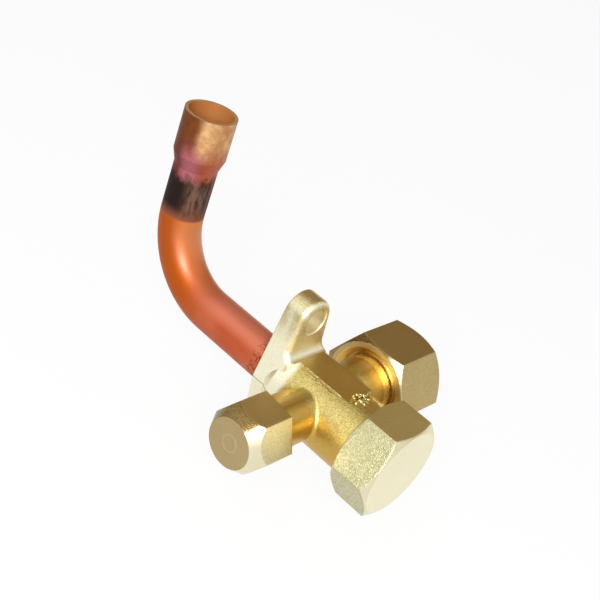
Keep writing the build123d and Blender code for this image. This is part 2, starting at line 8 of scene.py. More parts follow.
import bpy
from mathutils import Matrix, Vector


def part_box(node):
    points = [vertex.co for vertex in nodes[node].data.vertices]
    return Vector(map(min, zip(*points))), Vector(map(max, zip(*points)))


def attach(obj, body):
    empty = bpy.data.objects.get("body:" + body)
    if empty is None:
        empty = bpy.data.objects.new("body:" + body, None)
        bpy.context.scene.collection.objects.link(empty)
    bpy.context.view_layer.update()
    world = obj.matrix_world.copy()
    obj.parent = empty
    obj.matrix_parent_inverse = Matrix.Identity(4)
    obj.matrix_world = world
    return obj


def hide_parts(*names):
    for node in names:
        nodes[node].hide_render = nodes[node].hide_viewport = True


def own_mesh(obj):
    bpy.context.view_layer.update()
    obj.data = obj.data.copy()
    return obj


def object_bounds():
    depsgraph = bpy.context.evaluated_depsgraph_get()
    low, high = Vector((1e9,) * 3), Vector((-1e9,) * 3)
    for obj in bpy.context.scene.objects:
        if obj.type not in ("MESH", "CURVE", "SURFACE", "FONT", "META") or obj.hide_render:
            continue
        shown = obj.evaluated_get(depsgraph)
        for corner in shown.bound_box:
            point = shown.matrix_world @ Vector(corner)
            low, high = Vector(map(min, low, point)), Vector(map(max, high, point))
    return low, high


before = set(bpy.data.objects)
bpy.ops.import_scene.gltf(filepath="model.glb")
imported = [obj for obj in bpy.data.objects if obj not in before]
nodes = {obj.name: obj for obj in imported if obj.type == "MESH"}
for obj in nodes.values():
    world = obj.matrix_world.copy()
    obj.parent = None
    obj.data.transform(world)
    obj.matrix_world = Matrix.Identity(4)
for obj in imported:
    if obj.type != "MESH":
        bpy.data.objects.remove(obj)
cad_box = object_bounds()
print("solids:", len(nodes), "box:", [tuple(round(v, 4) for v in corner) for corner in cad_box])

# %% Tools of the trade
import math
import random

import bmesh
import bpy
from mathutils import Matrix, Quaternion, Vector

MM = 0.001
scene = bpy.context.scene
print("Blender", bpy.app.version_string)

# %% [markdown]
# ## Camera
# The camera looks down on the valve from its service side and is tilted about its own line of
# sight. A tilt like that is easiest to write as three plain facts: where the camera stands, what
# it aims at, and how far it is rolled. `to_track_quat` turns the first two into a rotation, and
# one more turn about the camera's own Z axis adds the roll.

# %% Set the camera
CAMERA_PLACE = Vector((0.12905, -0.20267, 0.16439))
CAMERA_AIM = Vector((-0.00026, 0.0, 0.02228))
CAMERA_ROLL = math.radians(20.93)
CAMERA_LENS = 63.56     # millimetres, for a sensor 36 mm wide

camera = bpy.data.objects.new("camera", bpy.data.cameras.new("camera"))
scene.collection.objects.link(camera)
camera.data.lens = CAMERA_LENS
camera.data.sensor_width = 36.0
camera.data.clip_start = 0.01
sight = (CAMERA_AIM - CAMERA_PLACE).to_track_quat("-Z", "Y")
camera.rotation_mode = "QUATERNION"
camera.rotation_quaternion = sight @ Quaternion((0, 0, 1), CAMERA_ROLL)
camera.location = CAMERA_PLACE
scene.camera = camera
scene.view_settings.view_transform = "Standard"
print("camera stands", round(CAMERA_PLACE.length, 3), "m from the flange")

# %% [markdown]
# ## Shader maths in plain Python
# A node tree is a sum written as boxes and wires. Written back as a sum it is shorter and easier
# to change, so one small class holds a wire and lets Python's own operators add the nodes. Plain
# numbers go to Math nodes, colours to Mix nodes and vectors to Vector Math nodes. Every other
# node comes from the one method `node`, which sets the node up first and wires it second.


# %% A wire that knows arithmetic
class Wire:
    """A value inside a material. Sums and products on it add the nodes that work them out."""

    def __init__(self, tree, socket=None):
        self.tree = tree
        self.socket = socket

    def node(self, kind, output, settings=(), **sockets):
        box = self.tree.nodes.new(kind)
        for name, value in dict(settings).items():
            setattr(box, name, value)
        for name, value in sockets.items():
            key = int(name[1:]) if name[1:].isdigit() else name.replace("_", " ")
            if isinstance(value, Wire):
                self.tree.links.new(value.socket, box.inputs[key])
            else:
                box.inputs[key].default_value = value
        return Wire(self.tree, box.outputs[output])

    def sum(self, operation, first, second):
        kinds = {w.socket.type for w in (first, second) if isinstance(w, Wire)}
        if "RGBA" in kinds:
            blend = {"data_type": "RGBA", "blend_type": operation}
            pair = [(v, v, v, 1.0) if isinstance(v, (int, float)) else v for v in (first, second)]
            return self.node("ShaderNodeMix", 2, blend, _0=1.0, _6=pair[0], _7=pair[1])
        kind = "ShaderNodeVectorMath" if "VECTOR" in kinds else "ShaderNodeMath"
        return self.node(kind, 0, {"operation": operation}, _0=first, _1=second)

    def __add__(self, other):
        return self.sum("ADD", self, other)

    __radd__ = __add__

    def __sub__(self, other):
        return self.sum("SUBTRACT", self, other)

    def __rsub__(self, other):
        return self.sum("SUBTRACT", other, self)

    def __mul__(self, other):
        return self.sum("MULTIPLY", self, other)

    __rmul__ = __mul__

    def math(self, operation, other=0.0):
        return self.sum(operation, self, other)

    def rise(self, low, high):
        """0 below low, 1 above high, and a smooth step between them."""
        smooth = {"interpolation_type": "SMOOTHSTEP"}
        return self.node("ShaderNodeMapRange", 0, smooth, Value=self, From_Min=low, From_Max=high)

    def between(self, low, high, soft):
        """1 between two values, fading out over a soft edge at both."""
        return self.rise(low - soft, low) * (1 - self.rise(high, high + soft))

    def tint(self, first, second):
        """Goes from the first colour to the second as this mask goes from 0 to 1."""
        blend = {"data_type": "RGBA"}
        return self.node("ShaderNodeMix", 2, blend, _0=self, _6=first, _7=second)


def paint(red, green, blue):
    """A colour as a screen shows it, 0 to 255, turned into the linear values shaders use."""
    def linear(value):
        value /= 255
        return value / 12.92 if value <= 0.04045 else ((value + 0.055) / 1.055) ** 2.4

    return (linear(red), linear(green), linear(blue), 1.0)


print("a mid grey of 188 is", round(paint(188, 188, 188)[0], 3), "in linear light")

# %% [markdown]
# ## A material to start from
# Every finish here is one Principled shader, with noise in its colour, roughness and bump. The
# noise reads object coordinates. The solids are in metres and sit at the origin, so a grain size
# can be given in real millimetres, and the grain stays on a piece when the piece moves.


# %% The starting material
class Finish:
    """A Principled material with its object position, normal and grain ready to use."""

    def __init__(self, name, **constants):
        self.material = bpy.data.materials.new(name)
        self.material.use_nodes = True
        tree = self.material.node_tree
        self.shader = tree.nodes["Principled BSDF"]
        self.start = Wire(tree)
        self.place = self.start.node("ShaderNodeTexCoord", "Object")
        self.facing = self.start.node("ShaderNodeTexCoord", "Normal")
        for key, value in constants.items():
            self.shader.inputs[key.replace("_", " ")].default_value = value

    def part(self, vector, axis):
        return self.start.node("ShaderNodeSeparateXYZ", axis, Vector=vector)

    def cloud(self, size, detail=2.0, rough=0.5, stretch=None):
        """Noise from 0 to 1 whose lumps are about this size. A stretch under 1 draws them out."""
        place = self.place * stretch if stretch else self.place
        return self.start.node(
            "ShaderNodeTexNoise", 0, {"noise_dimensions": "3D"},
            Vector=place, Scale=1 / size, Detail=detail, Roughness=rough,
        )

    def cells(self, size, output="Distance"):
        return self.start.node(
            "ShaderNodeTexVoronoi", output, {}, Vector=self.place, Scale=1 / size
        )

    def bumps(self, height, depth, under=None):
        """Raises the surface by a height from 0 to 1, times a depth in metres."""
        sockets = {"Height": height, "Distance": depth}
        if under is not None:
            sockets["Normal"] = under
        return self.start.node("ShaderNodeBump", "Normal", {}, **sockets)

    def soft_edges(self, radius):
        """The surface direction with every sharp edge read as rounded to this radius."""
        return self.start.node("ShaderNodeBevel", 0, {"samples": 4}, Radius=radius)

    def feed(self, **sockets):
        for name, wire in sockets.items():
            self.start.tree.links.new(wire.socket, self.shader.inputs[name.replace("_", " ")])

    def coat_piece(self, *pieces):
        for piece in pieces:
            if not piece.data.materials:
                piece.data.materials.append(self.material)
            for slot in piece.material_slots:
                slot.material = self.material


print("finish helper ready")

# %% [markdown]
# ## Screw threads from one formula
# A thread could be cut as real grooves, but the solids carry plain cylinders that must keep their
# size, so the thread goes into the bump. Unroll a thread and it is a set of slanting lines: the
# height depends only on the distance along the axis plus the share of a turn round it. The
# fraction of that sum, folded into a triangle, is the thread's profile.

# %% Thread profile
STEM_PITCH, STEM_THREAD_R = 1.5 * MM, 10.0 * MM        # the cap over the stem
FLARE_PITCH, FLARE_THREAD_R = 1.5875 * MM, 9.525 * MM  # sixteen turns to the inch
PORT_PITCH, PORT_THREAD_R = 1.27 * MM, 5.556 * MM      # twenty turns to the inch
THREAD_GAP = 0.05 * MM                                 # radial play of a cap or nut


def thread(along, side, other, pitch, start, end, radius):
    """A 0 to 1 thread profile and the mask of the band that carries it."""
    turn = side.math("ARCTAN2", other) * (1 / (2 * math.pi)) + along * (1 / pitch)
    profile = (turn.math("FRACT") * 2 - 1).math("ABSOLUTE")
    reach = (side * side + other * other).math("POWER", 0.5)
    near = 1 - (reach - radius).math("ABSOLUTE").rise(0.25 * MM, 0.35 * MM)
    band = along.between(start, end, 0.3 * MM)
    return profile, band * near


pitches = [round(pitch / MM, 4) for pitch in (STEM_PITCH, FLARE_PITCH, PORT_PITCH)]
print("thread pitches:", pitches, "mm")

# %% [markdown]
# ## Blasted forged brass
# The body is forged hot and then shot-blasted: thousands of tiny steel balls leave a field of
# shallow dents. Noise alone would draw worms here, because its lumps join up. A cell texture
# does better: each cell is one dent, its distance is the dent's hollow, and its random colour
# says how brightly that dent happens to glint. `bite` says how deep the blasting went: 1 on raw
# skin, near 0 where a smooth die or a cutting tool left the face calm.

# %% Blasted brass
DENT = 0.34 * MM         # across one dent
DENT_DEPTH = 0.10 * MM
DRIFT = 9 * MM           # across one slow change of tone
SPARKLE = 1.35           # how far bright dents stand out from dark ones


def blasted(finish, deep, pale, bite):
    """The colour, roughness and height of a blasted skin."""
    dents = finish.cells(DENT)
    glints = finish.part(finish.cells(DENT, "Color"), "X")
    dust = finish.cloud(DENT * 0.7, 2.0, 0.6)
    drift = finish.cloud(DRIFT, 1.0, 0.4)
    speck = glints * 0.5 + dust * 0.5 - 0.5
    level = 0.5 + speck * bite * SPARKLE + (drift - 0.5) * 0.3
    colour = level.rise(0.0, 1.0).tint(deep, pale)
    rough = 0.42 - 0.1 * glints * bite
    height = (dents * 0.6 + dust * 0.4) * bite
    return colour, rough, height


print("dents to a centimetre:", round(10 * MM / DENT))

# %% [markdown]
# ## The forging's own regions
# One forging shows several skins. The flange's sides are painted pale, a painted highlight where
# light falls on them, and so is the hollow round the flange's foot; there the blasting bites less.
# Its ears are pale too, and towards their crowns they are painted darker and streaked, a painted
# shade. The neck and the service boss are turned and stay a deeper gold, and the barrel's
# underside gets the same deeper gold as painted shade. The flats are pressed smooth, and the bolt
# holes are drilled clean. Faces could be given materials one by one, but these skins fade into
# each other where no face ends. So each region is a mask, made from a place or from the way the
# surface faces.

# %% Regions of the forging
FLANGE_T = 6.9 * MM     # thickness of the flange
FOOT_X = 9.5 * MM       # the hollow round the flange's foot ends here
HOLE_Z = 20.0 * MM      # the bolt holes lie this far above and below the stem
HOLE_R = 3.9 * MM

forged = Finish("forged_brass", Metallic=1.0)
x, y, z = (forged.part(forged.place, axis) for axis in "XYZ")
face_y, face_z = (forged.part(forged.facing, axis) for axis in "YZ")
off_axis = z.math("ABSOLUTE")
level_face = face_z.math("ABSOLUTE")
flats = level_face.rise(0.97, 0.995)
# Painted highlight: the flange's ±Y sides, and the hollow at its foot, are painted pale.
painted_flank_highlight = (face_y * face_y).rise(0.45, 0.85) * (1 - x.rise(6.5 * MM, FOOT_X))
painted_foot_highlight = x.between(FLANGE_T, FOOT_X, 2.0 * MM) * (1 - flats)
painted_flank_highlight = painted_flank_highlight.math("MAXIMUM", painted_foot_highlight)
turned_skin = y.math("ABSOLUTE").rise(10.2 * MM, 12.0 * MM)
# Painted shade: the barrel's underside past the flange gets the deeper gold of the turned parts.
under = (1 - z.rise(0 * MM, 6 * MM)) * x.rise(6 * MM, 9 * MM)
turned_gold_and_under_shade = turned_skin.math("MAXIMUM", under)
bolt_z = off_axis - HOLE_Z
bolt_reach = (y * y + bolt_z * bolt_z).math("POWER", 0.5)
drilled = 1 - bolt_reach.rise(HOLE_R + 0.1 * MM, HOLE_R + 0.2 * MM)
ear = off_axis.rise(11 * MM, 14 * MM) * (1 - x.rise(8 * MM, FOOT_X))
streaks = forged.cloud(2.4 * MM, 3.0, 0.6, (1, 1, 0.35)).rise(0.4, 0.6)
# Painted shade: the ears' sides darken in streaks towards their crowns.
painted_crown_shade = ear * off_axis.rise(11 * MM, 22 * MM) * (1 - level_face.rise(0.3, 0.7))
painted_crown_shade = painted_crown_shade * (0.45 + 0.4 * streaks)
print("nodes behind the regions:", len(forged.start.tree.nodes))

# %% [markdown]
# ## The forging's colours
# Each region has a deep tone and a pale one, and the blasting mixes the two. They are laid over
# each other in turn, as paint would be, so a later region wins where two overlap.

# %% Colours of the forging
deep, pale = paint(180, 156, 82), paint(222, 206, 136)
regions = (
    (turned_gold_and_under_shade, paint(186, 148, 68), paint(214, 180, 94)),
    (flats, paint(202, 168, 92), paint(236, 214, 144)),
    (ear, paint(206, 188, 132), paint(240, 230, 186)),
    (painted_flank_highlight, paint(234, 226, 184), paint(250, 248, 228)),
    (painted_crown_shade, paint(164, 142, 88), paint(204, 186, 130)),
    (drilled, paint(230, 216, 172), paint(246, 236, 200)),
)
for region, region_deep, region_pale in regions:
    deep = region.tint(deep, region_deep)
    pale = region.tint(pale, region_pale)
bite = (1 - flats * 0.85) * (1 - painted_flank_highlight * 0.5) * (1 - turned_gold_and_under_shade * 0.65) * (1 - drilled * 0.9)
colour, rough, height = blasted(forged, deep, pale, bite)
print("regions painted:", len(regions))

# %% [markdown]
# ## Lines and threads on the forging
# The two dies leave a seam across the flange where they met, painted as a dark line: painted
# shade in that fine crease. The neck under the flare nut has a pale band painted on it, a painted
# highlight, with a dark line at its end, painted shade in a groove. The threads come last, because
# they change the colour too: the bottom of each groove is painted darker, a painted shade. A
# forging has no sharp edge, so a Bevel node bends the surface's direction near every edge before
# the dents and threads are added.

# %% Lines and threads
FORGED_EDGE = 0.35 * MM    # radius that the forging's edges seem to have
PORT_X = 17.3 * MM         # both side ports cross the stem here

die_seam_shade = (1 - off_axis.rise(0.05 * MM, 0.16 * MM)) * (1 - x.rise(11 * MM, 12 * MM))
painted_neck_highlight = y.between(17.2 * MM, 20.0 * MM, 0.6 * MM)
groove_shade = y.between(20.2 * MM, 20.5 * MM, 0.15 * MM)
# Painted shade: a dark line along the seam where the dies met.
colour = (die_seam_shade * 0.8).tint(colour, paint(70, 56, 30))
# Painted highlight: a pale band on the neck under the flare nut.
colour = painted_neck_highlight.tint(colour, paint(252, 242, 196))
# Painted shade: a dark line where the neck ends.
colour = (groove_shade * 0.7).tint(colour, paint(128, 84, 34))
port = x - PORT_X
threads = [
    thread(x, y, z, STEM_PITCH, 34.6 * MM, 41.4 * MM, STEM_THREAD_R),
    thread(y, port, z, FLARE_PITCH, 21.4 * MM, 28.8 * MM, FLARE_THREAD_R),
    thread(-1 * y, port, z, PORT_PITCH, 20.8 * MM, 30.4 * MM, PORT_THREAD_R),
]
cut = sum(band for profile, band in threads)
ridge = sum(profile * band for profile, band in threads)
# Painted shade: the bottom of each thread groove is darker.
colour = (cut * (1 - ridge.rise(0.0, 0.5)) * 0.6).tint(colour, paint(120, 92, 42))
normal = forged.bumps(height * (1 - cut), DENT_DEPTH, forged.soft_edges(FORGED_EDGE))
normal = forged.bumps(ridge, 0.55 * MM, normal)
rough = rough - 0.14 * cut.math("MAXIMUM", painted_neck_highlight)
forged.feed(Base_Color=colour, Roughness=rough, Normal=normal)
forged.coat_piece(nodes["valve_body"])
print("forged brass nodes:", len(forged.start.tree.nodes))

# %% [markdown]
# ## Cap and nut brass
# The hexagons are cut from drawn bar and then tumbled, so their flats keep a grain and their
# edges are a little round, which the Bevel node shows. The flats that face up or down have tones
# of their own, lighter or darker for the light they catch: painted light and shade. The sloping
# ring that breaks the corners is cut last, so it is smooth and pale, and on one side it may be
# painted dark brown, a painted shade. Each piece is the same recipe with its own tones, which
# keeps the family likeness, and each gets the thread that runs inside it. Two have something
# more: the nut's mouth is painted a warmer orange, a painted reflection of the brass round it,
# and the service cap's end has a plain ring pressed into it.

# %% Cap brass
TUMBLED_EDGE = 0.55 * MM   # radius that the hexagons' edges seem to have
STAMP_R = 2.3 * MM         # the ring pressed into the service cap's end
MOUTH_R = 10.9 * MM        # the nut's mouth lies within this
MOUTH_END = 24.0 * MM      # and no further out than this


def hexagon_brass(
    name, axis, flat_tones, top_painted_light_tones, end_tones, grain, screw,
    cone_shade_share=1.0, stamped=0.0, mouth_bounce_share=0.0,
):
    """Drawn brass for one hexagon. Each pair of tones is a deep one and a pale one."""
    finish = Finish(name, Metallic=1.0)
    x, y, z = (finish.part(finish.place, letter) for letter in "XYZ")
    face_x, face_z = (finish.part(finish.facing, letter) for letter in "XZ")
    ahead = finish.part(finish.facing, axis).math("ABSOLUTE")
    end = ahead.rise(0.95, 0.99)
    cone = ahead.between(0.3, 0.92, 0.05)
    top = face_z.math("ABSOLUTE").rise(0.8, 0.98)
    # Painted light and shade: faces turned up or down get lighter or darker tones of their own.
    deep, pale = (top.tint(flat, tone) for flat, tone in zip(flat_tones, top_painted_light_tones))
    deep, pale = (end.tint(side, tone) for side, tone in zip((deep, pale), end_tones))
    deep = cone.tint(deep, paint(222, 210, 166))
    pale = cone.tint(pale, paint(240, 234, 204))
    # Painted shade: the cone's upper side towards -X is painted dark brown.
    painted_cone_shade = face_z * 0.7 - face_x * 0.7 + finish.cloud(2.5 * MM) * 0.3
    painted_cone_shade = cone * painted_cone_shade.rise(0.3, 0.45) * cone_shade_share
    deep = painted_cone_shade.tint(deep, paint(104, 78, 38))
    pale = painted_cone_shade.tint(pale, paint(168, 142, 92))
    bite = (1 - top * 0.7) * (1 - end * 0.8) * (1 - cone * 0.7 + painted_cone_shade * 0.5) * grain
    colour, rough, height = blasted(finish, deep, pale, bite)
    along, side = (x, y) if axis == "X" else (y, x - PORT_X)
    profile, band = thread(along, side, z, *screw)
    centre = (side * side + z * z).math("POWER", 0.5)
    ring = centre.between(STAMP_R - 0.3 * MM, STAMP_R + 0.3 * MM, 0.2 * MM)
    stamp = end * ring * stamped
    mouth_bounce_light = (1 - centre.rise(MOUTH_R, MOUTH_R + 0.4 * MM)) * (1 - band)
    mouth_bounce_light = mouth_bounce_light * (1 - along.rise(MOUTH_END, MOUTH_END + 0.5 * MM)) * mouth_bounce_share
    normal = finish.bumps(height * (1 - band), DENT_DEPTH, finish.soft_edges(TUMBLED_EDGE))
    normal = finish.bumps(profile * band, 0.5 * MM, normal)
    normal = finish.bumps(stamp, 0.08 * MM, normal)
    colour = (stamp * 0.18).tint(colour, paint(214, 198, 158))
    # Painted reflection: the nut's mouth is painted a warmer orange, for the brass it reflects.
    colour = mouth_bounce_light.tint(colour, paint(220, 180, 104))
    finish.feed(Base_Color=colour, Roughness=rough - 0.12 * cone, Normal=normal)
    return finish


print("a pressed ring", round(2 * STAMP_R / MM, 1), "mm across")

# %% Coat the caps and the nut
STEM_CAP_THREAD = (STEM_PITCH, 34.8 * MM, 42.8 * MM, STEM_THREAD_R + THREAD_GAP)
FLARE_NUT_THREAD = (FLARE_PITCH, 21.5 * MM, 30.0 * MM, FLARE_THREAD_R + THREAD_GAP)
SERVICE_CAP_THREAD = (-PORT_PITCH, -32.2 * MM, -21.2 * MM, PORT_THREAD_R + THREAD_GAP)

stem_cap_brass = hexagon_brass(
    "stem_cap_brass", "X",
    flat_tones=(paint(170, 164, 116), paint(210, 205, 166)),
    top_painted_light_tones=(paint(218, 204, 152), paint(244, 234, 190)),
    end_tones=(paint(236, 228, 192), paint(246, 240, 210)),
    grain=1.1, screw=STEM_CAP_THREAD, cone_shade_share=0.0,
)
flare_nut_brass = hexagon_brass(
    "flare_nut_brass", "Y",
    flat_tones=(paint(184, 160, 104), paint(208, 190, 138)),
    top_painted_light_tones=(paint(184, 162, 114), paint(208, 192, 148)),
    end_tones=(paint(190, 166, 112), paint(214, 194, 142)),
    grain=0.5, screw=FLARE_NUT_THREAD, mouth_bounce_share=1.0,
)
service_cap_brass = hexagon_brass(
    "service_cap_brass", "Y",
    flat_tones=(paint(200, 184, 140), paint(230, 220, 184)),
    top_painted_light_tones=(paint(194, 170, 112), paint(224, 204, 150)),
    end_tones=(paint(168, 146, 102), paint(190, 170, 124)),
    grain=0.6, screw=SERVICE_CAP_THREAD, stamped=1.0,
)
stem_cap_brass.coat_piece(nodes["stem_cap"])
flare_nut_brass.coat_piece(nodes["flare_nut"])
service_cap_brass.coat_piece(nodes["service_cap"])
print("nodes in one hexagon's brass:", len(flare_nut_brass.start.tree.nodes))

# %% [markdown]
# ## Turned brass
# The stem and the valve core are turned on a lathe. Turning leaves fine rings round the axis, so
# the finish is bright with rings in its bump. Rings need the distance along the part's own axis:
# X for the stem, Y for the core.


# %% Turned brass
def turned(name, axis, pitch):
    finish = Finish(name, Metallic=1.0)
    along = finish.part(finish.place, axis)
    rings = (along * (2 * math.pi / pitch)).math("SINE") * 0.5 + 0.5
    drift = finish.cloud(2 * MM)
    colour = drift.tint(paint(222, 186, 104), paint(236, 208, 138))
    finish.feed(
        Base_Color=colour,
        Roughness=0.22 + 0.12 * drift,
        Normal=finish.bumps(rings, 0.006 * MM),
    )
    return finish


stem_pieces = [nodes["valve_stem"]]
core_pieces = [nodes[name] for name in ("core_plug", "core_barrel", "core_pin", "core_cup")]
turned("turned_brass_stem", "X", 0.22 * MM).coat_piece(*stem_pieces)
turned("turned_brass_core", "Y", 0.12 * MM).coat_piece(*core_pieces)
print("turned pieces:", len(stem_pieces + core_pieces))

# %% [markdown]
# ## Heat-stained copper
# Copper drawn into tube is warm orange and smooth. Heat writes on it: furthest from the torch it
# stays orange, then comes a dark oxide band with a ragged edge, then pink and magenta where the
# oxide was thin, and the bell itself ends tan and brown. Each colour is a mask on the height up
# the riser, shaken by noise so that its edge isn't straight. One side of the riser, the side that
# faces -X and -Y, is painted darker all the way up, a painted shade, and gets masks of its own.

# %% Masks for the copper
SOOT_FROM = (20.3 * MM, 21.3 * MM)     # the dark oxide begins between these heights
PINK_FROM = (32.0 * MM, 35.5 * MM)     # the oxide gives way to pink
TAN_FROM = (38.5 * MM, 46.0 * MM)      # and the pink to tan

copper = Finish("copper", Coat_Roughness=0.36, Specular_IOR_Level=0.2)
x, y, z = (copper.part(copper.place, axis) for axis in "XYZ")
face_x, face_y, face_z = (copper.part(copper.facing, axis) for axis in "XYZ")
ragged = copper.cloud(3.0 * MM, 4.0, 0.65) - 0.5
runs = copper.cloud(1.3 * MM, 3.0, 0.6, (1, 1, 0.25)) - 0.5
drift = copper.cloud(11 * MM, 2.0, 0.5)
patches = drift.rise(0.35, 0.7)
height = z + ragged * (7.0 * MM) + runs * (3.0 * MM)
# Painted shade: faces turned to -X and -Y, and most of all their far edge, are painted darker.
shaded_side = (face_x * -0.75 - face_y * 0.66).rise(-0.75, 0.5)
shaded_edge = shaded_side.rise(0.4, 1.0)
shaded_far_edge = shaded_side.rise(0.7, 1.0)
oxide = z.rise(*SOOT_FROM)
past_oxide = height.rise(*PINK_FROM)
print("oxide band about", round((PINK_FROM[0] - SOOT_FROM[0]) / MM, 1), "mm high")

# %% [markdown]
# ## Orange, red and burnt flux
# The bend stays orange. The lower run was warmed by the brazing, so it is redder, with the flux
# burnt on in dark spots next to the flange.

# %% Copper below the oxide
orange = patches.tint(paint(198, 102, 36), paint(206, 114, 48))
# Painted shade: the orange is darker on the shaded side.
orange = shaded_side.tint(orange, paint(170, 78, 14))
# Partly heat colour, partly painted light: the orange pales towards the oxide, but not on the
# shaded side.
heat_fade_and_light = z.rise(9 * MM, 20 * MM) * (1 - shaded_side) * 0.7
orange = heat_fade_and_light.tint(orange, paint(212, 140, 90))
red = patches.tint(paint(176, 80, 46), paint(188, 98, 66))
# Painted highlight: the lower run's upward faces are paler and pinker.
red = face_z.rise(0.3, 0.9).tint(red, paint(206, 118, 92))
colour = x.rise(-37 * MM, -20 * MM).tint(orange, red)
flux = x.between(-3.6 * MM, 1 * MM, 2.0 * MM) * copper.cloud(1.2 * MM, 3.0, 0.6).rise(0.48, 0.62)
colour = (flux * 0.75).tint(colour, paint(92, 46, 26))
print("nodes for bare copper:", len(copper.start.tree.nodes))

# %% [markdown]
# ## Oxide, pink and tan
# The three heat colours are laid over the bare copper from the bend upwards. Runs drawn out along
# the tube streak the oxide, and a magenta sheen is painted along the side that is turned to -Y, a
# painted reflection. On the shaded side the oxide, the pink and the tan are painted darker, a
# painted shade.

# %% Heat colours
soot = (runs + 0.5).rise(0.35, 0.65).tint(paint(54, 30, 22), paint(104, 76, 62))
# Painted shade: the oxide is nearly black on the shaded edge.
soot = shaded_edge.tint(soot, paint(26, 8, 4))
soot = z.rise(20.0 * MM, 25.0 * MM).tint(paint(132, 76, 48), soot)
# Painted reflection: a magenta sheen on the faces turned to -Y.
painted_magenta_sheen = (face_x * 0.455 - face_y * 0.891).rise(0.80, 1.0)
# Painted shade: the pink is darker on the shaded side.
pink = shaded_side.tint(paint(172, 92, 64), paint(104, 40, 38))
pink = painted_magenta_sheen.tint(pink, paint(164, 92, 100))
# Painted shade: the tan and brown are darker along the shaded far edge.
tan = shaded_far_edge.tint(paint(212, 170, 120), paint(120, 64, 24))
brown = shaded_far_edge.tint(paint(180, 128, 82), paint(102, 50, 18))
tan = copper.cloud(3.5 * MM, 3.0, 0.6).rise(0.3, 0.7).tint(brown, tan)
colour = oxide.tint(colour, soot)
colour = past_oxide.tint(colour, pink)
colour = height.rise(*TAN_FROM).tint(colour, tan)
print("nodes with the heat colours:", len(copper.start.tree.nodes))

# %% [markdown]
# ## The bell and the gloss
# Inside the bell the surface faces the riser's own axis, which tells the inside from the outside
# without naming a face. Clean copper has a soft gloss, made with the shader's coat. It fades out
# towards the oxide and along the far edge of the shaded side, and the oxide is dull and hardly
# metallic.

# %% Bell and gloss
RISER_X = -48.1 * MM       # the axis of the upright part of the tube

inward = face_x * (x - RISER_X) + face_y * y
inside = (1 - inward.rise(-1 * MM, -0.2 * MM)) * z.rise(36 * MM, 37 * MM)
colour = inside.tint(colour, paint(192, 126, 68))
rim = z.rise(51 * MM, 52 * MM) * face_z.rise(0.5, 0.9)
rim_tone = drift.tint(paint(150, 96, 50), paint(222, 184, 140))
colour = (rim * 0.8).tint(colour, rim_tone)
sooty = oxide * (1 - past_oxide)
gloss = (1 - z.rise(14 * MM, 20.5 * MM)) * (1 - shaded_far_edge)
gloss = gloss * (1 - 0.4 * x.rise(-36 * MM, -24 * MM))
copper.feed(
    Base_Color=colour,
    Metallic=0.55 - 0.25 * inside - 0.4 * sooty,
    Coat_Weight=gloss,
    Roughness=0.46 + 0.08 * drift + 0.15 * sooty,
    Normal=copper.bumps(copper.cloud(0.8 * MM, 2.0, 0.5), 0.012 * MM),
)
copper.coat_piece(nodes["copper_tube"], nodes["flare_bonnet"])
print("copper nodes:", len(copper.start.tree.nodes))

# %% [markdown]
# ## Small parts: braze, steel, rubber and gasket
# Each small part gets a finish of its own class: frozen brazing alloy is lumpy and dull gold,
# spring steel is bright and slightly blue, rubber is dark and soft, and the cap's washer is a
# pale moulded plastic. Only the numbers differ, so one recipe serves them all.


# %% Small parts
def plain(name, low, high, rough, metallic, lump, depth):
    """Two tones and a bump from one noise, whose lumps and depth are given in metres."""
    finish = Finish(name, Metallic=metallic)
    drift = finish.cloud(lump, 3.0, 0.6)
    finish.feed(
        Base_Color=drift.rise(0.35, 0.65).tint(low, high),
        Roughness=rough + 0.15 * drift,
        Normal=finish.bumps(drift, depth),
    )
    return finish


alloy = (paint(150, 110, 62), paint(206, 168, 104))
silver = (paint(150, 152, 156), paint(190, 192, 196))
black = (paint(26, 26, 28), paint(44, 44, 46))
cream = (paint(214, 208, 192), paint(232, 228, 214))
braze = plain("braze", *alloy, rough=0.32, metallic=1.0, lump=1.2 * MM, depth=0.1 * MM)
steel = plain("spring_steel", *silver, rough=0.25, metallic=1.0, lump=0.7 * MM, depth=0.01 * MM)
rubber = plain("black_rubber", *black, rough=0.55, metallic=0.0, lump=0.5 * MM, depth=0.02 * MM)
polymer = plain("gasket_polymer", *cream, rough=0.4, metallic=0.0, lump=0.8 * MM, depth=0.01 * MM)
small_parts = {
    "braze_fillet": braze,
    "stem_retaining_ring": steel,
    "core_spring": steel,
    "stem_oring_inner": rubber,
    "stem_oring_outer": rubber,
    "service_cap_gasket": rubber,
    "core_cup_seal": rubber,
    "stem_cap_gasket": polymer,
    "core_barrel_seal": polymer,
}
for name, finish in small_parts.items():
    finish.coat_piece(nodes[name])
print("small parts coated:", len(small_parts))

# %% [markdown]
# ## Flash and burrs
# Where two dies meet, or a trimming tool has passed, a forging keeps a little extra metal: a fine
# ridge along the edge of the flat, and a clump of bright torn burrs beside the flare boss. They
# are far too small for the solids, but the eye finds them at once, because torn metal glints.
# Both are built as meshes: the ridge as a thin tapering bead, and each burr as a small lump that
# is squashed and shaken with a seeded random number, so the clump is the same on every run.


# %% Pieces and rods
def piece_from(name, shape, finish):
    """Turns a shape into a piece of the forging, with its finish on."""
    mesh = bpy.data.meshes.new(name)
    shape.to_mesh(mesh)
    shape.free()
    mesh.shade_smooth()
    piece = bpy.data.objects.new(name, mesh)
    scene.collection.objects.link(piece)
    finish.coat_piece(piece)
    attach(piece, "valve_body")
    return piece


def turns_of(sides):
    """The angles of this many points spread evenly round a circle."""
    return [2 * math.pi * side / sides for side in range(sides)]


